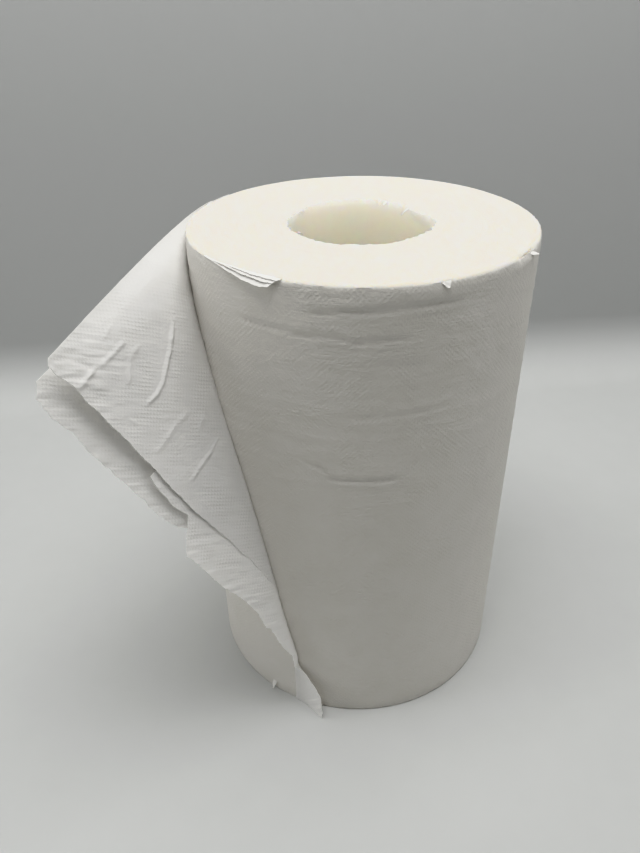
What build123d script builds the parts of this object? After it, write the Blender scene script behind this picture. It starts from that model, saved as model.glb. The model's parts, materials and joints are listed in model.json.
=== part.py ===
from build123d import *
import os
from math import cos, radians, sin

os.makedirs("parts", exist_ok=True)

# A coreless paper towel roll standing on end, with its last turn pulled loose at one side.
# The frame's origin is on the roll's axis in its bottom face, and +Z runs up the axis.

# the wound roll
roll_diameter = 140.0
bore_diameter = 59.8
web_width = 215.0  # width of the paper web, which is the roll's height

# the bore's mouth, where the centre turns were pulled out: it closes in unevenly at the top
mouth_depth = 9.0
mouth_dents = [  # angle round the axis in degrees, and how far the edge stands into the bore
    (0, 0.4),
    (18, 3.0),
    (30, 5.6),
    (43, 3.2),
    (55, 1.6),
    (80, 0.5),
    (110, 0.2),
    (136, 1.0),
    (156, 3.1),
    (175, 1.0),
    (200, 0.7),
    (221, 1.9),
    (242, 0.2),
    (270, 1.0),
    (290, 0.4),
    (310, 1.6),
    (335, 1.2),
]

# the loose end, a two-ply sheet that leaves the roll flat
ply_thickness = 0.4
rim_angle = 160.0  # where the sheet leaves the top rim, along the rim's tangent
corner_angle = 259.6  # where the sheet's bottom corner rests beside the roll
corner_gap = 6.4  # from the roll's side to that corner
edge_lean = 11.7  # tilt of the free edge from the sheet's steepest line
back_ply_gap = 8.0  # how far the back ply's upper leaf hangs behind the front ply
tail_gap = 1.6  # how far the back ply's lower leaf lies behind the front ply
seat = 14.0  # how far the sheets reach into the roll, to be one with its turns

roll_radius = roll_diameter / 2
bore_radius = bore_diameter / 2


def round_axis(radius, angle, height):
    return Vector(radius * cos(radians(angle)), radius * sin(radians(angle)), height)


# the loose end's plane holds the rim's tangent and the corner on the floor
corner = round_axis(roll_radius + corner_gap, corner_angle, 0)
rim_point = round_axis(roll_radius, rim_angle, web_width)
rim_tangent = round_axis(1, rim_angle + 90, 0)
sheet_normal = (rim_point - corner).cross(rim_tangent).normalized()
steepest = rim_tangent.cross(sheet_normal).normalized()
free_edge = steepest * cos(radians(edge_lean)) + rim_tangent * sin(radians(edge_lean))
top_corner = corner + free_edge * web_width


def leaf_plane(gap):
    # a leaf turns about the line from the corner to the rim, and its top corner stands gap behind
    edge = (top_corner - sheet_normal * gap - corner).normalized()
    to_rim = rim_point - corner
    across = (to_rim - edge * to_rim.dot(edge)).normalized()
    return Plane(origin=corner, x_dir=across, z_dir=across.cross(edge))


# distance in from the free edge's line to where the sheets end: inside the roll's side, and at its rim
inner_bottom = corner_gap + seat
inner_top = leaf_plane(0).to_local_coords(rim_point).X

# outlines of the leaves: distance in from the free edge's line, and share of the web's width
front_ply = [
    (0.0, 1.0),
    (1.4, 0.905),
    (7.0, 0.765),
    (10.2, 0.63),
    (16.2, 0.5),
    (20.6, 0.35),
    (20.0, 0.28),
]
back_ply = [
    (-1.0, 0.98),
    (-5.2, 0.955),
    (-3.0, 0.875),
    (1.4, 0.7),
    (7.0, 0.6),
]
tail = [
    (6.3, 0.73),
    (8.0, 0.62),
    (-1.5, 0.57),
    (2.6, 0.45),
    (6.8, 0.335),
    (7.2, 0.2),
    (-2.0, 0.125),
    (0.0, 0.0),
]

with BuildPart() as loose_end:
    for outline, gap in ((front_ply, 0), (back_ply, back_ply_gap), (tail, tail_gap)):
        share_top = outline[0][1]
        share_bottom = outline[-1][1]
        with BuildSketch(leaf_plane(gap)):
            with BuildLine():
                free_side = [(x, share * web_width) for x, share in outline]
                roll_top = inner_bottom + (inner_top - inner_bottom) * share_top
                roll_bottom = inner_bottom + (inner_top - inner_bottom) * share_bottom
                Polyline(
                    *free_side,
                    (roll_bottom, share_bottom * web_width),
                    (roll_top, share_top * web_width),
                    close=True,
                )
            make_face()
        extrude(amount=-ply_thickness)
    # nothing of the sheet stands above the roll's top face or below the floor
    Cylinder(
        roll_diameter,
        web_width,
        align=(Align.CENTER, Align.CENTER, Align.MIN),
        mode=Mode.INTERSECT,
    )

with BuildPart() as paper_roll:
    Cylinder(roll_radius, web_width, align=(Align.CENTER, Align.CENTER, Align.MIN))
    add(loose_end.part)
    # the straight bore, up to the mouth
    with BuildSketch(Plane.XY):
        Circle(bore_radius)
    extrude(amount=web_width - mouth_depth, mode=Mode.SUBTRACT)
    # the mouth, from the round bore to its uneven edge in the top face
    with BuildSketch(Plane.XY.offset(web_width - mouth_depth)):
        Circle(bore_radius)
    with BuildSketch(Plane.XY.offset(web_width)):
        with BuildLine():
            Spline(*[round_axis(bore_radius - dent, angle, 0) for angle, dent in mouth_dents],
                   periodic=True)
        make_face()
    loft(mode=Mode.SUBTRACT)

paper_roll.part.label = "paper_roll"
export_step(paper_roll.part, "parts/paper_roll.step")
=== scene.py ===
import bpy
import json
from math import atan2, cos, degrees, exp, hypot, pi, radians, sin
from mathutils import Matrix, Vector, noise


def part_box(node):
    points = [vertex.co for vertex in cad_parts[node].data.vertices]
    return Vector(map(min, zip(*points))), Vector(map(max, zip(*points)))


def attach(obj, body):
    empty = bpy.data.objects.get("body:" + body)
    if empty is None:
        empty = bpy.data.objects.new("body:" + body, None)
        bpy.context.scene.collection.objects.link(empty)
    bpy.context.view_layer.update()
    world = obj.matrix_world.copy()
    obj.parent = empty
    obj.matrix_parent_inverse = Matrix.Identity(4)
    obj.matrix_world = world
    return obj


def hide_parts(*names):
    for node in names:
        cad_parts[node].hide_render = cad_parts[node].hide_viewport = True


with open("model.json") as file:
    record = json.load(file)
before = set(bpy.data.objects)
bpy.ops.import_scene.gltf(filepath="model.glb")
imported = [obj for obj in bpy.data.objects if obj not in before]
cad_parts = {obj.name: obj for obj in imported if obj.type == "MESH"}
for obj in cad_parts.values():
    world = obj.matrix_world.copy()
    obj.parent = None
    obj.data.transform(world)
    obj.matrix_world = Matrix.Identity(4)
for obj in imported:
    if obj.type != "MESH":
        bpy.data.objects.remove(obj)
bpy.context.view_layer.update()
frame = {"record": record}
mm = 0.001

# the roll's own sizes come from the frame; the loose end is all on the low side of X, so the
# high corner of the box is the wound roll's
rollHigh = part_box("paper_roll")[1]
rollRadius = rollHigh[0]
webWidth = rollHigh[2]
mounts = {m["name"]: m for m in frame["record"]["mounts"]}
boreRadius = mounts["bore"]["dims"]["r_mm"] * mm


# ---- small helpers

def setMode(mode):
    bpy.ops.object.mode_set(mode=mode)


def clearSelection():
    bpy.ops.object.select_all(action="DESELECT")


def selectEdges(piece, test):
    # test gets the edge's two ends
    setMode("EDIT")
    bpy.ops.mesh.select_mode(type="EDGE")
    bpy.ops.mesh.select_all(action="DESELECT")
    setMode("OBJECT")
    points = [vertex.co for vertex in piece.data.vertices]
    for edge in piece.data.edges:
        edge.select = test(points[edge.vertices[0]], points[edge.vertices[1]])
    setMode("EDIT")


def applyModifiers(piece):
    clearSelection()
    piece.select_set(True)
    bpy.context.view_layer.objects.active = piece
    for modifier in list(piece.modifiers):
        bpy.ops.object.modifier_apply(modifier=modifier.name)


def ease(x):
    x = min(1.0, max(0.0, x))
    return x * x * (3 - 2 * x)


def straightAlong(points, x):
    # the height of a line of straight runs over x
    if x <= points[0][0]:
        return points[0][1]
    for (xa, ya), (xb, yb) in zip(points, points[1:]):
        if x <= xb:
            return ya + (yb - ya) * (x - xa) / (xb - xa)
    return points[-1][1]


def smoothAlong(points, x):
    # the same, on a smooth curve through the points
    x = min(max(x, points[0][0]), points[-1][0])
    slopes = []
    for i in range(len(points)):
        a = points[max(i - 1, 0)]
        b = points[min(i + 1, len(points) - 1)]
        slopes.append((b[1] - a[1]) / (b[0] - a[0]))
    for i in range(len(points) - 1):
        (xa, ya), (xb, yb) = points[i], points[i + 1]
        if x <= xb:
            w = xb - xa
            t = (x - xa) / w
            return ((1 + 2 * t) * (1 - t) ** 2 * ya + t * (1 - t) ** 2 * w * slopes[i]
                    + t * t * (3 - 2 * t) * yb - t * t * (1 - t) * w * slopes[i + 1])
    return points[-1][1]


def ripple(*place):
    return noise.noise(Vector(place))


def offLine(x, y, points):
    # distance from (x, y) to a bent line, and how far along it the nearest point is, from 0 to 1
    nearest = (1e9, 0.0)
    runs = len(points) - 1
    for i in range(runs):
        (xa, ya), (xb, yb) = points[i], points[i + 1]
        dx, dy = xb - xa, yb - ya
        t = min(1.0, max(0.0, ((x - xa) * dx + (y - ya) * dy) / (dx * dx + dy * dy)))
        d = hypot(x - xa - dx * t, y - ya - dy * t)
        if d < nearest[0]:
            nearest = (d, (i + t) / runs)
    return nearest


def onRoll(radius, angle, height):
    return Vector((radius * cos(radians(angle)), radius * sin(radians(angle)), height))


# ---- materials

def fromHex(code):
    # an sRGB hex colour as linear red, green, blue and alpha
    parts = [int(code[i:i + 2], 16) / 255 for i in (1, 3, 5)]
    return [c / 12.92 if c <= 0.04045 else ((c + 0.055) / 1.055) ** 2.4 for c in parts] + [1.0]


def addNode(tree, kind, values=None, links=None, **settings):
    # one node with its settings, its sockets' values, and its links as socket: (node, output)
    node = tree.nodes.new("ShaderNode" + kind)
    for name, value in settings.items():
        setattr(node, name, value)
    for name, value in (values or {}).items():
        node.inputs[name].default_value = value
    for name, (source, output) in (links or {}).items():
        tree.links.new(source.outputs[output], node.inputs[name])
    return node


def newMaterial(name):
    material = bpy.data.materials.new(name)
    material.use_nodes = True
    material.node_tree.nodes.clear()
    return material, material.node_tree


tissue = {
    # sizes in mm
    "embossPitch": 1.42,  # between rows of the diagonal emboss, which makes dots 2 mm apart
    "drift": 0.9,  # how far the rows wander out of true
    "driftSize": 7.0,
    "patchSize": 9.0,  # where the emboss is pressed flatter or stands fuller
    "fibreSize": 0.55,  # much coarser than the real fibres, so that they show
    "fibreShare": 0.45,
    "foldLength": 4.8,
    "foldWidth": 1.2,
    "foldPatchSize": 22.0,
    # folds along the creping and both ways across it: degrees, seed and strength
    "folds": [(0, 5.0, 1.1), (-45, 3.0, 0.7), (45, 8.0, 0.7)],
    "cloudSize": 14.0,
}

papers = {
    # emboss is how high the dots stand, flattest how much of it is left where it is pressed flat,
    # crossRows how strong the second way's rows are; relief and depth are in mm
    # side, bore and ply are one tissue; the side's colour is set darker than the bore's and the
    # ply's: painted shade for the roll's shaded front
    "side": {"name": "wound embossed tissue with painted shade", "colour": "#DEDBD5", "shade": "#D8D5CD",
             "emboss": 0.22, "flattest": 0.0, "crossRows": 1.0, "folds": 1.1, "relief": 0.33,
             "seeThrough": 0.0, "depth": 0.0},
    # the bore's colour is set near white, lighter than the side's of the same tissue: painted light
    # for the glow inside the bore
    "bore": {"name": "bore tissue with painted light", "colour": "#FEF9F2", "shade": "#FCF5EB",
             "emboss": 0.25, "flattest": 0.2, "crossRows": 1.0, "folds": 0.0, "relief": 0.05,
             "seeThrough": 0.0, "depth": 34.0},
    # the loose ply's colour is set lighter than the side's of the same tissue: painted light on the
    # flap
    "ply": {"name": "loose embossed ply with painted light", "colour": "#FAF9F7", "shade": "#F6F5F2",
            "emboss": 0.7, "flattest": 0.0, "crossRows": 0.7, "folds": 1.2, "relief": 0.13,
            "seeThrough": 0.30, "depth": 0.0},
    "torn": {"name": "torn rim tissue", "colour": "#EEEDE9", "shade": "#E9E7E2",
             "emboss": 0.4, "flattest": 0.0, "crossRows": 1.0, "folds": 0.6, "relief": 0.12,
             "seeThrough": 0.0, "depth": 0.0},
}

sawnEnd = {
    # sizes in mm
    "name": "sawn web edge",
    "colour": "#DDD9CF",
    "shade": "#D9D4C9",
    "ringSize": 0.7,  # several turns together, since single turns are too thin to show
    "grainSize": 0.8,
    "grainShare": 0.6,
    "wander": 2.2,
    "wanderSize": 25.0,
    "relief": 0.10,
    "depth": 6.0,
}


def pattern(tree, size, coords, detail, **settings):
    # noise whose features are about size mm
    return addNode(tree, "TexNoise", {"Scale": 1 / (size * mm), "Detail": detail},
                   {"Vector": coords}, **settings)


def embossHeight(tree, coords, paper):
    # diagonal rows both ways make a lattice of small dots, drawn a little out of true by the roll
    drift = pattern(tree, tissue["driftSize"], coords, 1.0)
    pulled = addNode(tree, "VectorMath", {1: (tissue["drift"] * mm,) * 3},
                     {0: (drift, "Color"), 2: coords}, operation="MULTIPLY_ADD")
    turned = addNode(tree, "Mapping", {"Rotation": (0, 0, radians(45)),
                                       "Scale": (2 * pi / (tissue["embossPitch"] * mm),) * 3},
                     {"Vector": (pulled, 0)})
    split = addNode(tree, "SeparateXYZ", links={"Vector": (turned, 0)})
    rowsOne = addNode(tree, "Math", links={0: (split, 0)}, operation="COSINE")
    rowsTwo = addNode(tree, "Math", links={0: (split, 1)}, operation="COSINE")
    both = addNode(tree, "Math", {1: paper["crossRows"]}, {0: (rowsOne, 0), 2: (rowsTwo, 0)},
                   operation="MULTIPLY_ADD")
    dots = addNode(tree, "MapRange", {"From Min": -0.6, "From Max": 1 + paper["crossRows"],
                                      "To Max": paper["emboss"]},
                   {"Value": (both, 0)}, interpolation_type="SMOOTHSTEP")
    patches = pattern(tree, tissue["patchSize"], coords, 3.0)
    pressed = addNode(tree, "MapRange", {"From Min": 0.35, "From Max": 0.65,
                                         "To Min": paper["flattest"]}, {"Value": (patches, 0)})
    return addNode(tree, "Math", links={0: (dots, 0), 1: (pressed, 0)}, operation="MULTIPLY")


def foldHeight(tree, coords, turn, seed):
    # short folds in the emboss, all one way, in some places and not in others
    slanted = addNode(tree, "Mapping",
                      {"Rotation": (0, 0, radians(turn)),
                       "Scale": (tissue["foldLength"] * mm, tissue["foldWidth"] * mm, mm)},
                      {"Vector": coords}, vector_type="TEXTURE")
    folds = addNode(tree, "TexNoise", {"Scale": 1.0, "Detail": 2.0, "W": seed},
                    {"Vector": (slanted, 0)}, noise_dimensions="4D")
    where = pattern(tree, tissue["foldPatchSize"], coords, 2.0, noise_dimensions="4D")
    where.inputs["W"].default_value = seed
    here = addNode(tree, "MapRange", {"From Min": 0.42, "From Max": 0.62}, {"Value": (where, 0)})
    return addNode(tree, "Math", links={0: (folds, 0), 1: (here, 0)}, operation="MULTIPLY")


def glow(depth):
    # light that soaks into thick paper and comes out again up to depth mm away, reddest farthest
    if not depth:
        return {}
    return {"Subsurface Weight": 1.0, "Subsurface Radius": (1.0, 0.8, 0.5),
            "Subsurface Scale": depth * mm}


def tissuePaper(paper):
    # embossed tissue: creped wood fibre with no coating, so a soft matte white with no gloss,
    # and thin enough in one sheet that light comes through
    material, tree = newMaterial(paper["name"])
    uv = addNode(tree, "UVMap", uv_map="paper")
    coords = (uv, 0)
    height = embossHeight(tree, coords, paper)
    fibres = addNode(tree, "TexNoise", {"Scale": 1 / (tissue["fibreSize"] * mm), "Detail": 4.0,
                                        "Roughness": 0.65}, {"Vector": coords})
    total = addNode(tree, "Math", {1: tissue["fibreShare"]}, {0: (fibres, 0), 2: (height, 0)},
                    operation="MULTIPLY_ADD")
    for turn, seed, strength in tissue["folds"]:
        fold = foldHeight(tree, coords, turn, seed)
        total = addNode(tree, "Math", {1: paper["folds"] * strength},
                        {0: (fold, 0), 2: (total, 0)}, operation="MULTIPLY_ADD")
    bump = addNode(tree, "Bump", {"Strength": 1.0, "Distance": paper["relief"] * mm},
                   {"Height": (total, 0)})
    clouds = pattern(tree, tissue["cloudSize"], coords, 4.0)
    tint = addNode(tree, "Mix", {"A": fromHex(paper["colour"]), "B": fromHex(paper["shade"])},
                   {"Factor": (clouds, 0)}, data_type="RGBA")
    body = addNode(tree, "BsdfPrincipled", {"Roughness": 0.92, "IOR": 1.35,
                                            "Sheen Weight": 0.15, "Sheen Roughness": 0.6,
                                            **glow(paper["depth"])},
                   {"Base Color": (tint, 2), "Normal": (bump, 0)})
    last = body
    if paper["seeThrough"]:
        through = addNode(tree, "BsdfTranslucent", links={"Color": (tint, 2), "Normal": (bump, 0)})
        last = addNode(tree, "MixShader", {0: paper["seeThrough"]},
                       {1: (body, 0), 2: (through, 0)})
    addNode(tree, "OutputMaterial", links={"Surface": (last, 0)})
    return material


def cutEnd():
    # the web's sawn edge, thousands of turns on edge: chalk white, with very faint rings
    material, tree = newMaterial(sawnEnd["name"])
    place = (addNode(tree, "TexCoord"), "Object")
    around = addNode(tree, "VectorMath", {1: (1, 1, 0)}, {0: place}, operation="MULTIPLY")
    fromAxis = addNode(tree, "VectorMath", links={0: (around, 0)}, operation="LENGTH")
    wander = pattern(tree, sawnEnd["wanderSize"], place, 2.0)
    shifted = addNode(tree, "Math", {1: sawnEnd["wander"] * mm},
                      {0: (wander, 0), 2: (fromAxis, "Value")}, operation="MULTIPLY_ADD")
    turns = addNode(tree, "TexNoise", {"Scale": 1 / (sawnEnd["ringSize"] * mm), "Detail": 3.0,
                                       "Roughness": 0.7}, {"W": (shifted, 0)},
                    noise_dimensions="1D")
    grain = pattern(tree, sawnEnd["grainSize"], place, 3.0)
    total = addNode(tree, "Math", {1: sawnEnd["grainShare"]}, {0: (grain, 0), 2: (turns, 0)},
                    operation="MULTIPLY_ADD")
    bump = addNode(tree, "Bump", {"Strength": 1.0, "Distance": sawnEnd["relief"] * mm},
                   {"Height": (total, 0)})
    tint = addNode(tree, "Mix", {"A": fromHex(sawnEnd["colour"]), "B": fromHex(sawnEnd["shade"])},
                   {"Factor": (turns, 0)}, data_type="RGBA")
    body = addNode(tree, "BsdfPrincipled", {"Roughness": 0.95, "IOR": 1.3,
                                            **glow(sawnEnd["depth"])},
                   {"Base Color": (tint, 2), "Normal": (bump, 0)})
    addNode(tree, "OutputMaterial", links={"Surface": (body, 0)})
    return material


def seamlessPaper(name):
    # a sweep of pale studio paper, with painted shade on its upright part; its back is left out, so
    # it never hides the object
    material, tree = newMaterial(name)
    place = (addNode(tree, "TexCoord"), "Object")
    grain = addNode(tree, "TexNoise", {"Scale": 60.0, "Detail": 3.0}, {"Vector": place})
    tint = addNode(tree, "Mix", {"A": fromHex(studio["floor"]), "B": fromHex(studio["floorShade"])},
                   {"Factor": (grain, 0)}, data_type="RGBA")
    split = addNode(tree, "SeparateXYZ", links={"Vector": place})
    # from the bend up the sweep takes the darker wall colour: painted shade, the upright paper lit
    # less from above than the floor
    rise = addNode(tree, "MapRange", {"From Min": 0.0, "From Max": studio["sweepBend"]},
                   {"Value": (split, 2)}, interpolation_type="SMOOTHSTEP")
    shade = addNode(tree, "Mix", {"B": fromHex(studio["wall"])},
                    {"Factor": (rise, 0), "A": (tint, 2)},
                    data_type="RGBA")
    body = addNode(tree, "BsdfPrincipled", {"Roughness": 0.9, "IOR": 1.3},
                   {"Base Color": (shade, 2)})
    clear = addNode(tree, "BsdfTransparent")
    side = addNode(tree, "NewGeometry")
    both = addNode(tree, "MixShader", links={0: (side, "Backfacing"), 1: (body, 0), 2: (clear, 0)})
    addNode(tree, "OutputMaterial", links={"Surface": (both, 0)})
    return material


shadePaintedSideTissue = tissuePaper(papers["side"])
lightPaintedBoreTissue = tissuePaper(papers["bore"])
lightPaintedPlyTissue = tissuePaper(papers["ply"])
tornTissue = tissuePaper(papers["torn"])
endTissue = cutEnd()


# ---- the wound roll

woundRoll = {
    "columns": 320,
    "sideRows": 212,
    "topRings": 26,
    "baseRings": 6,
    "boreRows": 22,
    "edgeRound": 0.5,  # mm, the soft edge of the top face
    "unevenness": 0.22,  # mm, the height of the slow swells in the side
    # swells and wrinkles in the side: strength, how many there are round and up the roll, seed,
    # and the heights in mm between which they grow from nothing
    "swells": [(1.0, 1.6, 0.012, 0, -60, 0), (0.35, 7, 0.055, 9, -60, 0),
               (0.75, 4, 0.30, 0, 90, 150), (0.45, 14, 0.55, 3, 110, 170)],
    # the outermost turns' upper edge is torn off on the right of the front: where, how wide to
    # each side, and how far down and in
    "rimTear": {"angle": 329.0, "halfWidth": 13.0, "depth": 1.6, "topDepth": 1.3},
    "baseWear": 0.5,  # mm that the lower edge is worn in, about
    "baseWearHeight": 1.4,
    "mouthDepth": 9.0,  # mm over which the mouth closes in
    # angle in degrees, and how far the mouth's edge stands into the bore in mm
    "mouthDents": [(0, 0.4), (18, 3.0), (30, 5.6), (43, 3.2), (55, 1.6), (80, 0.5), (110, 0.2),
                   (136, 0.6), (156, 2.0), (175, 0.6), (200, 0.0), (221, 0.2), (242, -0.3),
                   (270, 1.0), (290, 0.4), (310, 1.6), (335, 1.2), (360, 0.4)],
    # creases that the last turns took when wound: how deep in mm, how much they bulge above it,
    # then points as angle in degrees and height in mm
    "creases": [
        (0.55, 0.50, [(252.6, 202.7), (257.3, 204.8), (266.6, 206.4), (280.7, 207.2),
                      (303.0, 207.6)]),
        (0.65, 0.45, [(229.3, 197.3), (241.0, 197.7), (252.0, 196.7), (263.6, 197.2),
                      (268.6, 195.3), (274.6, 195.7), (286.5, 196.3)]),
        (0.32, 0.15, [(266.0, 165.2), (282.4, 165.9), (301.0, 166.8)]),
        (0.55, 0.30, [(249.8, 145.5), (259.2, 142.1), (261.7, 137.8), (269.8, 137.3),
                      (286.0, 138.0)]),
        (0.30, 0.15, [(226.7, 176.8), (232.3, 175.0)]),
        (0.22, 0.15, [(246.8, 166.0), (257.4, 169.7)]),
        (0.20, 0.10, [(255.0, 153.6), (262.0, 152.8)]),
        (0.25, 0.15, [(262.0, 187.5), (270.0, 188.6)]),
        (0.22, 0.10, [(276.0, 77.6), (279.0, 77.3)]),
        (0.22, 0.10, [(272.6, 56.4), (276.0, 56.0)]),
        (0.22, 0.10, [(266.4, 29.4), (269.8, 29.7)]),
    ],
}


def creaseDepth(angle, height):
    # a crease is a groove under a soft bulge, with a small lip below it
    degree = rollRadius * radians(1) / mm
    farthest = 12  # mm from a crease's line that it reaches
    total = 0.0
    for depth, bulge, points in woundRoll["creases"]:
        first, last = points[0][0], points[-1][0]
        seed = points[0][1]
        if not first < angle < last:
            continue
        above = height - straightAlong(points, angle) - 0.35 * ripple(angle * 0.6, seed, 2.0)
        if abs(above) > farthest:
            continue
        inside = min(angle - first, last - angle) * degree
        fade = ease(inside / 9 + 0.05) * (0.8 + 0.35 * ripple(angle * 0.25, seed, 3.0))
        groove = -depth * exp(-(((above + 0.2) / 0.75) ** 2))
        lip = 0.35 * depth * exp(-(((above + 2.2) / 1.1) ** 2))
        swell = 0.0
        if above > 0:
            swell = bulge * exp(-above / 4.5) * (1 - exp(-above / 0.7))
        total += (groove + lip + swell) * fade
    return total


def sideSwell(angle, height):
    a = radians(angle)
    total = 0.0
    for strength, across, up, seed, low, high in woundRoll["swells"]:
        grown = ease((height - low) / (high - low))
        total += strength * ripple(cos(a) * across, sin(a) * across, height * up + seed) * grown
    return woundRoll["unevenness"] * total


def rimNick(angle):
    return 0.3 * ripple(angle * 0.8, 5.0, 1.0) + 0.2 * ripple(angle * 2.1, 8.0, 3.0)


def rimLoss(angle):
    # how much of the outermost turns' upper edge is gone there, from 0 to about 1
    tear = woundRoll["rimTear"]
    share = ease(1 - abs(angle - tear["angle"]) / tear["halfWidth"])
    return share * (0.75 + 0.6 * ripple(angle * 0.9, 4.0, 1.0))


def mouthDent(angle, deep):
    # the tear runs only a little way down; the dents reach down the whole mouth
    tear = 1.0 * ripple(angle * 0.12, 2.0, 5.0) + 1.5 * ripple(angle * 0.35, 7.0, 2.0)
    dent = smoothAlong(woundRoll["mouthDents"], angle % 360)
    return dent * ease(1 - deep) + tear * ease(1 - 3.5 * deep)


def shapeSide(angle, height):
    # rows lie closest at the base's edge and in the upper part, where the creases are
    outer, top = rollRadius / mm, webWidth / mm
    height = straightAlong([(0, 0), (0.01, 1.4), (0.25, 120), (1, top)], height / top)
    offset = (sideSwell(angle, height) + creaseDepth(angle, height)) * ease(height / 4)
    loss = woundRoll["rimTear"]["depth"] * rimLoss(angle)
    nearTop = ease(1 - (top - height) / 3.5)
    radius = outer + offset - 0.4 * nearTop ** 2 + (rimNick(angle) - loss) * nearTop
    wear = woundRoll["baseWear"] * (1 + ripple(angle * 0.5, 3.0, 9.0))
    radius -= wear * ease(1 - height / woundRoll["baseWearHeight"])
    if height > top - 0.01:
        height -= woundRoll["edgeRound"] + loss
    return radius, height


def shapeBore(angle, height):
    # rows lie closest in the mouth
    bore, top = boreRadius / mm, webWidth / mm
    height = straightAlong([(0, 0), (0.45, 190), (0.6, 206), (1, top)], height / top)
    deep = (top - height) / woundRoll["mouthDepth"]
    radius = bore - mouthDent(angle, deep) + 0.12 * ripple(angle * 0.05, height * 0.03, 6.0)
    if height > top - 0.01:
        height -= 0.35
    return radius, height


def shapeTop(angle, radius, height):
    bore, outer = boreRadius / mm, rollRadius / mm
    inner = bore - mouthDent(angle, 0)
    radius = inner + (outer - inner) * (radius - bore) / (outer - bore)
    edge = ease((radius - outer + 3.4) / 3.0)
    radius += edge * rimNick(angle)
    a = radians(angle)
    height += 0.16 * ripple(radius * 0.35, cos(a) * 1.2, sin(a) * 1.2)
    height += 0.10 * ripple(radius * 0.9, cos(a) * 4, sin(a) * 4)
    height -= woundRoll["rimTear"]["topDepth"] * rimLoss(angle) * edge
    height -= 0.12 * ease((radius - outer + 1.2) / 1.0)
    return radius, height


def shapeRoll(place):
    # moves a point of the plain turned shape to where the worn one has it
    radius = hypot(place.x, place.y) / mm
    angle = degrees(atan2(place.y, place.x)) % 360
    angle -= degrees(0.25) * sin(radians(angle - 270))  # closer columns at the front
    height = place.z / mm
    if radius > rollRadius / mm - 0.01:
        radius, height = shapeSide(angle, height)
    elif radius < boreRadius / mm + 0.01:
        radius, height = shapeBore(angle, height)
    elif height > webWidth / mm - 0.01:
        radius, height = shapeTop(angle, radius, height)
    return onRoll(radius * mm, angle, max(0.0, height) * mm)


def addUvMap(piece, uvOf):
    # uvOf gives a corner's place on the paper in metres, from its point and its face's centre
    layer = piece.data.uv_layers.new(name="paper")
    piece.data.uv_layers.active = layer
    for face in piece.data.polygons:
        for loop in face.loop_indices:
            point = piece.data.vertices[piece.data.loops[loop].vertex_index].co
            layer.data[loop].uv = uvOf(point, face.center)


def rollUv(point, centre):
    # round the roll and up it, with no jump inside a face
    middle = atan2(centre.y, centre.x)
    turn = atan2(point.y, point.x)
    if turn - middle > pi:
        turn -= 2 * pi
    if middle - turn > pi:
        turn += 2 * pi
    return (turn * rollRadius, point.z)


def makeWoundRoll():
    clearSelection()
    bpy.ops.mesh.primitive_circle_add(vertices=woundRoll["columns"], radius=boreRadius)
    piece = bpy.context.object
    piece.name = "wound_roll"
    # a ring drawn out to the side, up, in to the bore and down again
    setMode("EDIT")
    bpy.ops.mesh.select_all(action="SELECT")
    grow = rollRadius / boreRadius
    for rise, scale in ((0, grow), (webWidth, 1), (0, 1 / grow), (-webWidth, 1)):
        bpy.ops.mesh.extrude_region_move(TRANSFORM_OT_translate={"value": (0, 0, rise)})
        bpy.ops.transform.resize(value=(scale, scale, 1))
    bpy.ops.mesh.select_all(action="SELECT")
    bpy.ops.mesh.remove_doubles(threshold=0.01 * mm)
    bpy.ops.mesh.normals_make_consistent(inside=False)
    half = webWidth / 2
    middle = (rollRadius + boreRadius) / 2

    def upright(a, b):
        return abs(a.z - b.z) > half

    def crossing(a, b):
        return abs(hypot(a.x, a.y) - hypot(b.x, b.y)) > 0.01

    cuts = (
        (woundRoll["sideRows"], lambda a, b: upright(a, b) and hypot(a.x, a.y) > middle),
        (woundRoll["boreRows"], lambda a, b: upright(a, b) and hypot(a.x, a.y) < middle),
        (woundRoll["topRings"], lambda a, b: crossing(a, b) and a.z > half),
        (woundRoll["baseRings"], lambda a, b: crossing(a, b) and a.z < half),
    )
    for count, test in cuts:
        selectEdges(piece, test)
        bpy.ops.mesh.subdivide(number_cuts=count - 1)
    setMode("OBJECT")
    print("wound roll cut into", len(piece.data.polygons), "faces")
    for face in piece.data.polygons:
        out = hypot(face.center.x, face.center.y)
        face.material_index = 1 if abs(face.normal.z) > 0.5 else (0 if out > middle else 2)
    for vertex in piece.data.vertices:
        vertex.co = shapeRoll(vertex.co)
    addUvMap(piece, rollUv)
    for material in (shadePaintedSideTissue, endTissue, lightPaintedBoreTissue):
        piece.data.materials.append(material)
    bpy.ops.object.shade_smooth_by_angle(angle=radians(55))
    return piece


roll = makeWoundRoll()
print("wound roll shaped:", len(roll.data.polygons), "faces")


# ---- the loose end

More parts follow.
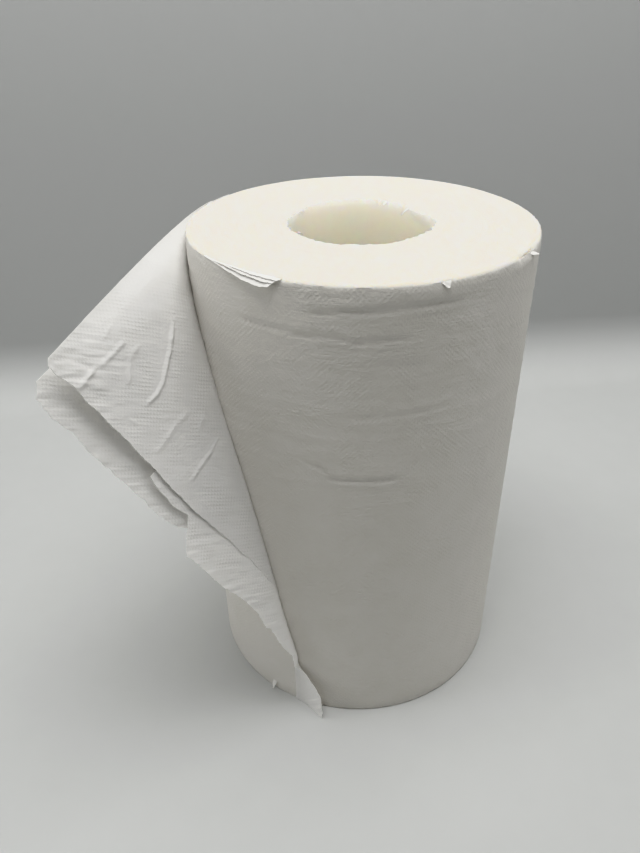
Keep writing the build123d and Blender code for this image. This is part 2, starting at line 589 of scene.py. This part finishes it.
looseEnd = {
    # share of the web's width up from its lower edge, and the angle at which the sheet leaves
    "peelLine": [(0.0, 248.3), (0.14, 247.6), (0.24, 244.0), (0.42, 236.9), (0.57, 229.3),
                 (0.68, 221.5), (0.81, 210.2), (0.905, 196.5), (0.965, 182.0), (1.0, 160.0)],
    # the same share, and how stiffly the sheet holds on round the roll before it turns away, mm
    "hold": [(0.0, 14.0), (0.15, 12.0), (0.3, 9.0), (0.6, 10.0), (0.8, 16.0), (1.0, 90.0)],
    # near the floor the sheet stands upright: share, and how far it stands out from the roll, mm
    "foot": [(0.0, 15.7), (0.033, 15.3), (0.058, 14.7), (0.072, 13.4), (0.086, 11.6), (0.109, 6.9),
             (0.138, 2.5), (0.16, 1.0)],
    "footTop": 0.165,  # share at which the sheet is all in its plane again
    "rimAngle": 160.0,  # where the sheet's plane touches the top rim
    "cornerAngle": 259.6,  # where its bottom corner rests, and how far from the roll, mm
    "cornerGap": 6.4,
    "edgeLean": 11.7,  # degrees from the steepest way up the plane to the free edge
    "tuck": 14.0,  # mm that the sheet runs on round the roll, under the turn's surface
    "thickness": 0.22,
    # the crumples round the top corner: height up the web and spread in and up, mm, and the
    # angle in degrees that they run at
    "crumpleHeight": 204,
    "crumpleSpread": (26, 15),
    "crumpleTurn": -42,
    # ridges pressed in by folding: height and half width, then points in mm from the free edge
    # inwards and from the web's lower edge upwards
    "ridges": [
        (0.80, 0.66, [(54.5, 194.4), (43.7, 186.4), (32.7, 179.5), (27.8, 178.1), (21.0, 178.0)]),
        (0.65, 0.66, [(31.0, 200.6), (24.1, 200.2), (16.5, 200.5)]),
        (0.65, 0.66, [(15.8, 201.2), (9.6, 200.9), (4.0, 200.4)]),
        (0.40, 0.90, [(34.9, 195.5), (29.7, 195.8), (25.2, 191.9), (20.0, 187.8)]),
        (0.60, 0.60, [(40.0, 146.7), (32.7, 144.8), (24.2, 143.9), (16.5, 143.0)]),
        (0.35, 1.10, [(36.0, 163.6), (26.3, 163.7), (18.5, 162.4), (13.0, 162.0)]),
        (0.30, 0.70, [(31.5, 207.6), (24.5, 206.1)]),
        (0.25, 0.80, [(39.5, 157.7), (32.5, 154.3)]),
        (0.35, 0.60, [(12.0, 204.6), (7.1, 209.3), (2.0, 212.6)]),
        (0.25, 0.70, [(15.0, 174.8), (12.7, 179.8)]),
    ],
}

leaves = {
    # gap is how far a ply hangs behind the sheet's plane, mm, in full from the share gapFrom up;
    # lift is how far off the roll it starts, mm; each outline is the share of the web's width and
    # the distance in from the free edge, mm
    "front_ply": {
        "gap": 0.0, "gapFrom": 1.0, "lift": 0.10, "columns": 150, "rows": 280, "wear": 0.35,
        "outline": [(0.235, 16.5), (0.28, 20.2), (0.35, 20.6), (0.43, 18.4), (0.5, 16.0),
                    (0.6, 12.2), (0.65, 10.6), (0.738, 8.6), (0.804, 7.4), (0.854, 5.8),
                    (0.91, 4.2), (0.943, 3.4), (0.976, 1.0), (0.991, 0.7), (1.0, 2.6)],
    },
    "back_ply": {
        "gap": 8.0, "gapFrom": 1.0, "lift": 0.42, "columns": 110, "rows": 150, "wear": 0.5,
        "outline": [(0.56, 9.0), (0.585, 8.2), (0.64, 2.6), (0.7, 1.4), (0.755, -0.6),
                    (0.815, -2.2), (0.875, -3.0), (0.93, -5.4), (0.955, -5.1), (0.975, -1.0)],
    },
    "back_ply_tail": {
        "gap": 1.8, "gapFrom": 0.3, "lift": 0.42, "columns": 60, "rows": 220, "wear": 0.38,
        "outline": [(0.0, 0.0), (0.045, -0.4), (0.068, -1.0), (0.11, -0.6), (0.128, 1.2),
                    (0.147, 3.9), (0.169, 6.4), (0.181, 8.1), (0.202, 7.4), (0.221, 6.9),
                    (0.261, 7.4), (0.28, 7.8), (0.294, 6.3), (0.34, 7.0), (0.38, 6.4), (0.447, 2.6),
                    (0.508, 0.5), (0.549, -0.6), (0.568, -2.0), (0.6, 5.1), (0.62, 9.0),
                    (0.655, 6.6), (0.73, 6.0)],
    },
}

# the sheet's plane, from the rim's tangent and the corner that rests on the floor
sheetCorner = onRoll(rollRadius + looseEnd["cornerGap"] * mm, looseEnd["cornerAngle"], 0)
rimPoint = onRoll(rollRadius, looseEnd["rimAngle"], webWidth)
rimTangent = onRoll(1, looseEnd["rimAngle"] + 90, 0)
sheetNormal = (rimPoint - sheetCorner).cross(rimTangent).normalized()
steepest = rimTangent.cross(sheetNormal).normalized()
lean = radians(looseEnd["edgeLean"])
edgeLine = (steepest * cos(lean) + rimTangent * sin(lean)) * webWidth
outwards = edgeLine.cross(sheetNormal).normalized()
if outwards.dot(rimTangent) < 0:
    outwards.negate()
footWay = (sheetCorner - onRoll(rollRadius, looseEnd["peelLine"][0][1], 0)).normalized()


class SheetRow:
    # one run of the sheet across the web's length, from where it leaves the roll to its free edge
    samples = 48

    def __init__(self, share, lift):
        self.share = share
        self.angle = smoothAlong(looseEnd["peelLine"], share)
        self.radius = rollRadius + lift * mm
        start = onRoll(self.radius, self.angle, share * webWidth)
        upright = ease((looseEnd["footTop"] - share) / 0.055)
        foot = start + footWay * smoothAlong(looseEnd["foot"], share) * mm
        end = (sheetCorner + edgeLine * share).lerp(foot, upright)
        chord = end - start
        startWay = onRoll(1, self.angle + 90, 0) * min(smoothAlong(looseEnd["hold"], share) * mm,
                                                       chord.length)
        # high up it reaches its free edge in the plane, and near the floor it runs straight there
        planar = ease((share - 0.10) / 0.15)
        endWay = chord.normalized() * (1 - planar) + outwards * planar
        endWay = endWay.normalized() * chord.length
        self.points = []
        for i in range(self.samples + 1):
            t = i / self.samples
            self.points.append((1 + 2 * t) * (1 - t) ** 2 * start + t * (1 - t) ** 2 * startWay
                               + t * t * (3 - 2 * t) * end - t * t * (1 - t) * endWay)
        self.reach = [0.0]
        for a, b in zip(self.points, self.points[1:]):
            self.reach.append(self.reach[-1] + (b - a).length)
        self.length = self.reach[-1]

    def at(self, inward):
        # the point that far in from the free edge, in metres
        run = self.length - inward
        if run < 0:
            sunk = (self.radius - rollRadius + 0.7 * mm) * ease(-run / (3 * mm))
            angle = self.angle + degrees(run / rollRadius)
            return onRoll(self.radius - sunk, angle, self.share * webWidth)
        if run >= self.length:
            way = (self.points[-1] - self.points[-2]).normalized()
            return self.points[-1] + way * (run - self.length)
        step = 0
        while self.reach[step + 1] < run:
            step += 1
        t = (run - self.reach[step]) / (self.reach[step + 1] - self.reach[step])
        return self.points[step].lerp(self.points[step + 1], t)


def tornEdge(name, share, wear):
    # how far in from its outline the ply is torn; the corner on the floor is nearly whole
    seed = len(name) * 1.7
    up = share * webWidth / mm
    wear *= 0.15 + 0.85 * ease((share - 0.07) / 0.1)
    return wear * (1.5 * ripple(up * 0.13, seed, 0.0) + 1.0 * ripple(up * 0.45, seed, 4.0)
                   + 0.6 * ripple(up * 1.3, seed, 8.0))


def plyRelief(name, inward, up, free):
    # how far the ply stands off its smooth surface, in mm; free is 0 at the roll, 1 away from it
    seed = len(name) * 0.37
    rise = 0.9 * ripple(inward * 0.018, up * 0.014, seed)
    rise += 0.22 * ripple(inward * 0.09, up * 0.11, seed + 3)
    if name == "front_ply":
        for height, half, points in looseEnd["ridges"]:
            d, along = offLine(inward, up, points)
            if d < 4 * half:
                fade = ease(min(along, 1 - along) * 6 + 0.1)
                uneven = 0.85 + 0.4 * ripple(up * 0.5, inward * 0.3, 1)
                rise += height * fade * exp(-((d / half) ** 2)) * uneven
        spreadIn, spreadUp = looseEnd["crumpleSpread"]
        above = up - looseEnd["crumpleHeight"]
        corner = exp(-((inward / spreadIn) ** 2)) * exp(-((above / spreadUp) ** 2))
    else:
        corner = 0.5 * exp(-((inward / 20) ** 2))
    tilt = radians(looseEnd["crumpleTurn"])
    along = inward * cos(tilt) + up * sin(tilt)
    across = -inward * sin(tilt) + up * cos(tilt)
    rise += corner * (0.75 * ripple(along * 0.08, across * 0.38, seed + 1)
                      + 0.50 * ripple(along * 0.16, across * 0.95, seed + 2))
    rise += 0.11 * ripple(along * 0.10, across * 0.5, seed + 5)
    return rise * free


def makeLeaf(name):
    leaf = leaves[name]
    clearSelection()
    bpy.ops.mesh.primitive_grid_add(x_subdivisions=leaf["columns"], y_subdivisions=leaf["rows"],
                                    size=1, calc_uvs=False)
    piece = bpy.context.object
    piece.name = name
    low, high = leaf["outline"][0][0], leaf["outline"][-1][0]
    rows = {}
    onPaper = {}
    for vertex in piece.data.vertices:
        share = low + (high - low) * (vertex.co.y + 0.5)
        key = round(share, 6)
        if key not in rows:
            rows[key] = SheetRow(share, leaf["lift"])
        row = rows[key]
        edge = straightAlong(leaf["outline"], share) + tornEdge(name, share, leaf["wear"])
        inner = row.length / mm + looseEnd["tuck"]
        inward = inner + (edge - inner) * (vertex.co.x + 0.5)
        up = share * webWidth / mm
        free = ease((row.length / mm - inward) / 9)
        away = min(max(0.0, 1 - inward * mm / row.length), 1.1) ** 1.4
        gap = leaf["gap"] * min(1.0, share / leaf["gapFrom"])
        place = row.at(inward * mm)
        place = place + sheetNormal * (plyRelief(name, inward, up, free) - gap * away) * mm
        place.z = min(max(place.z, 0.15 * mm), webWidth)
        onPaper[vertex.index] = (inward * mm, up * mm)
        vertex.co = place
    layer = piece.data.uv_layers.new(name="paper")
    for face in piece.data.polygons:
        for loop in face.loop_indices:
            layer.data[loop].uv = onPaper[piece.data.loops[loop].vertex_index]
    area = sum(face.area for face in piece.data.polygons)
    shell = piece.modifiers.new("thickness", "SOLIDIFY")
    shell.thickness = looseEnd["thickness"] * mm
    shell.offset = 0
    applyModifiers(piece)
    setMode("EDIT")
    bpy.ops.mesh.select_all(action="SELECT")
    bpy.ops.mesh.normals_make_consistent(inside=False)
    setMode("OBJECT")
    bpy.ops.object.shade_smooth_by_angle(angle=radians(60))
    piece.data.materials.append(lightPaintedPlyTissue)
    return piece, area


plies = {}
for leafName in leaves:
    plies[leafName] = makeLeaf(leafName)
    print("leaf", leafName, "made:", len(plies[leafName][0].data.polygons), "faces")


# ---- small torn pieces

rimLips = {
    # outer turns whose upper edge was pulled outwards, the lowest first: angles they run
    # between, then how far they stand out, drop, and lie above the top face, in mm
    "rim_lip_low": (217.0, 246.4, 3.0, 2.3, -0.40),
    "rim_lip_middle": (221.0, 247.2, 2.0, 1.2, 0.15),
    "rim_lip_high": (225.0, 248.0, 1.1, 0.5, 0.40),
}
rimLipShape = {
    "columns": 90,
    "rows": 8,
    "thickness": 0.22,
}
flakes = {
    # where each tag hangs on: radius mm, angle, height mm; then the way it points as outwards,
    # round and up; its length and width in mm, and how much it curls
    "mouth_flake_left": ((29.6, 196.0, 214.6), (-0.55, 0.25, -0.75), 4.6, 2.2, 0.5),
    "mouth_flake_left_small": ((28.6, 213.0, 214.8), (-0.8, -0.3, -0.3), 2.6, 1.6, 0.6),
    "mouth_flake_right": ((25.6, 40.0, 214.8), (-0.6, 0.5, -0.45), 4.2, 1.8, 0.7),
    "mouth_flake_back": ((27.8, 68.0, 214.9), (-0.9, 0.2, -0.3), 2.2, 1.6, 0.3),
    "rim_flake_front": ((69.7, 293.6, 214.6), (0.55, 0.1, -0.9), 2.4, 3.4, 0.4),
    "rim_sliver_right": ((68.6, 332.0, 213.4), (0.75, 0.35, -0.30), 3.4, 3.0, 0.3),
    "base_tag": ((70.15, 237.2, 5.2), (0.42, -0.10, -1.0), 4.6, 2.2, -0.10),
}
flakeShape = {
    "columns": 14,
    "rows": 8,
    "thickness": 0.2,
}


def stripOfPaper(name, columns, rows, placeOf, thickness):
    # a grid laid out by placeOf, which takes shares along and across from 0 to 1
    clearSelection()
    bpy.ops.mesh.primitive_grid_add(x_subdivisions=columns, y_subdivisions=rows, size=1,
                                    calc_uvs=False)
    piece = bpy.context.object
    piece.name = name
    for vertex in piece.data.vertices:
        vertex.co = placeOf(vertex.co.x + 0.5, vertex.co.y + 0.5)
    layer = piece.data.uv_layers.new(name="paper")
    for face in piece.data.polygons:
        for loop in face.loop_indices:
            point = piece.data.vertices[piece.data.loops[loop].vertex_index].co
            turn = atan2(point.y, point.x) % (2 * pi)
            layer.data[loop].uv = (turn * rollRadius, point.z + 0.7 * hypot(point.x, point.y))
    shell = piece.modifiers.new("thickness", "SOLIDIFY")
    shell.thickness = thickness * mm
    shell.offset = 0
    applyModifiers(piece)
    bpy.ops.object.shade_smooth_by_angle(angle=radians(60))
    piece.data.materials.append(tornTissue)
    return piece


def makeRimLip(name):
    first, last, out, drop, lift = rimLips[name]

    def placeOf(along, across):
        angle = first + (last - first) * along
        grown = ease(along / 0.95) ** 1.3 * ease((1 - along) / 0.07 + 0.3)
        wave = 1 + 0.25 * ripple(angle * 0.22, lift * 5, 0.0) + 0.12 * ripple(angle * 0.9, lift, 4.0)
        reach = grown * wave
        radius = rollRadius / mm - 1.3 + (1.2 + out * reach) * across
        shut = ease((1 - along) / 0.12)
        lifted = (0.3 + lift * shut) * ease(across / 0.35) * ease(along / 0.3)
        height = webWidth / mm - 0.3 + lifted
        height -= drop * reach * across ** 1.4
        edge = 0.25 * ripple(angle * 2.0, lift * 3, 9.0) * across ** 3
        return onRoll((radius + edge) * mm, angle, height * mm)

    return stripOfPaper(name, rimLipShape["columns"], rimLipShape["rows"], placeOf,
                        rimLipShape["thickness"])


def makeFlake(name):
    (radius, angle, height), (out, around, up), length, width, curl = flakes[name]
    start = onRoll(radius * mm, angle, height * mm)
    outward = onRoll(1, angle, 0)
    sideways = onRoll(1, angle + 90, 0)
    way = (outward * out + sideways * around + Vector((0, 0, up))).normalized()
    cross = (sideways - way * sideways.dot(way)).normalized()
    normal = way.cross(cross)

    def placeOf(along, across):
        taper = 1 - 0.75 * along ** 1.6
        jag = 0.18 * ripple(along * 4, across * 3, radius)
        side = (across - 0.5 + jag) * width * taper
        bend = curl * length * along ** 2 * 0.5 + 0.3 * ripple(along * 2, across * 2, angle)
        return start + (way * along * length + cross * side + normal * bend) * mm

    return stripOfPaper(name, flakeShape["columns"], flakeShape["rows"], placeOf,
                        flakeShape["thickness"])


tornPieces = [makeRimLip(name) for name in rimLips] + [makeFlake(name) for name in flakes]
print("torn pieces made:", len(tornPieces))


# ---- joining the pieces to the frame

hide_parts("paper_roll")
for piece in [roll] + tornPieces:
    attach(piece, "root")
for leafName, (piece, area) in plies.items():
    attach(piece, "root")
    shares = [share for share, inward in leaves[leafName]["outline"]]
    # the run is the modelled sheet's own; the area is the leaf's own mesh, measured before it had a
    # thickness
    longest = max(SheetRow(share, 0).length for share in shares) + looseEnd["tuck"] * mm


# ---- studio

studio = {
    "sweepWidth": 2.4,
    "sweepFront": -1.0,
    "sweepBack": 0.262,
    "sweepHeight": 0.9,
    "sweepBend": 0.045,
    "sweepTurn": -8.0,  # degrees, clockwise from above
    "floor": "#CECFCD",
    "floorShade": "#CBCCCA",
    # the upright part's colour, darker than the floor's: painted shade
    "wall": "#ACADAC",
    "air": "#D8DADB",
    "airStrength": 0.10,
}
lights = {
    # where each one stands, what it faces and how large it is, in metres, and its power
    "top softbox": ((0.02, -0.11, 0.95), (0.0, -0.08, 0.0), (0.75, 0.45), 6.5),
    "left softbox": ((-0.85, 0.0, 0.42), (-0.1, 0.0, 0.1), (0.8, 0.6), 3.4),
    "right fill": ((0.85, 0.0, 0.45), (0.0, 0.0, 0.1), (0.8, 0.7), 1.7),
    "front fill": ((-0.15, -1.05, 0.45), (0.0, 0.0, 0.08), (0.9, 0.6), 0.8),
    "wall light": ((0.0, 0.04, 0.42), (0.0, 0.28, 0.38), (0.8, 0.1), 0.30),
}


def makeSweep():
    clearSelection()
    bpy.ops.mesh.primitive_plane_add(size=1)
    piece = bpy.context.object
    piece.name = "studio_sweep"
    depth = studio["sweepBack"] - studio["sweepFront"]
    setMode("EDIT")
    bpy.ops.mesh.select_all(action="SELECT")
    bpy.ops.transform.resize(value=(studio["sweepWidth"], depth, 1))
    bpy.ops.transform.translate(value=(0, studio["sweepBack"] - depth / 2, 0))
    backEdge = studio["sweepBack"] - 0.01
    selectEdges(piece, lambda a, b: a.y > backEdge and b.y > backEdge)
    rise = (0, 0, studio["sweepHeight"])
    bpy.ops.mesh.extrude_region_move(TRANSFORM_OT_translate={"value": rise})
    selectEdges(piece, lambda a, b: a.y > backEdge and b.y > backEdge and a.z + b.z < 0.001)
    bpy.ops.mesh.bevel(offset=studio["sweepBend"], segments=24, affect="EDGES")
    bpy.ops.mesh.select_all(action="SELECT")
    bpy.ops.mesh.normals_make_consistent(inside=False)
    setMode("OBJECT")
    piece.rotation_euler = (0, 0, -radians(studio["sweepTurn"]))
    floor = min(piece.data.polygons, key=lambda face: face.center.z)
    if floor.normal.z < 0:
        piece.data.flip_normals()
    piece.data.materials.append(seamlessPaper("seamless studio paper with painted wall shade"))
    bpy.ops.object.shade_smooth()
    return piece


def addLight(name, place, aim, size, power):
    clearSelection()
    bpy.ops.object.light_add(type="AREA", location=place)
    light = bpy.context.object
    light.name = name
    light.data.shape = "RECTANGLE"
    light.data.size, light.data.size_y = size
    light.data.energy = power
    light.rotation_euler = (Vector(aim) - Vector(place)).to_track_quat("-Z", "Y").to_euler()
    return light


makeSweep()
for lightName, (place, aim, size, power) in lights.items():
    addLight(lightName, place, aim, size, power)

world = bpy.data.worlds.new("studio air")
bpy.context.scene.world = world
world.use_nodes = True
world.node_tree.nodes["Background"].inputs["Color"].default_value = fromHex(studio["air"])
world.node_tree.nodes["Background"].inputs["Strength"].default_value = studio["airStrength"]
bpy.context.scene.view_settings.view_transform = "Khronos PBR Neutral"

# ---- camera

camera = {
    "place": (0.0, -0.28945, 0.30365),
    "down": 32.898,  # degrees
    "left": 3.529,
    "tilt": -0.823,
    "lens": 30.70,  # on a sensor 36 mm high
}
clearSelection()
bpy.ops.object.camera_add(location=camera["place"])
eye = bpy.context.object
turn = (Matrix.Rotation(radians(camera["left"]), 3, "Z")
        @ Matrix.Rotation(radians(90 - camera["down"]), 3, "X")
        @ Matrix.Rotation(radians(camera["tilt"]), 3, "Z"))
eye.rotation_euler = turn.to_euler()
eye.data.lens = camera["lens"]
eye.data.sensor_width = 36.0
eye.data.clip_start = 0.01
bpy.context.scene.camera = eye
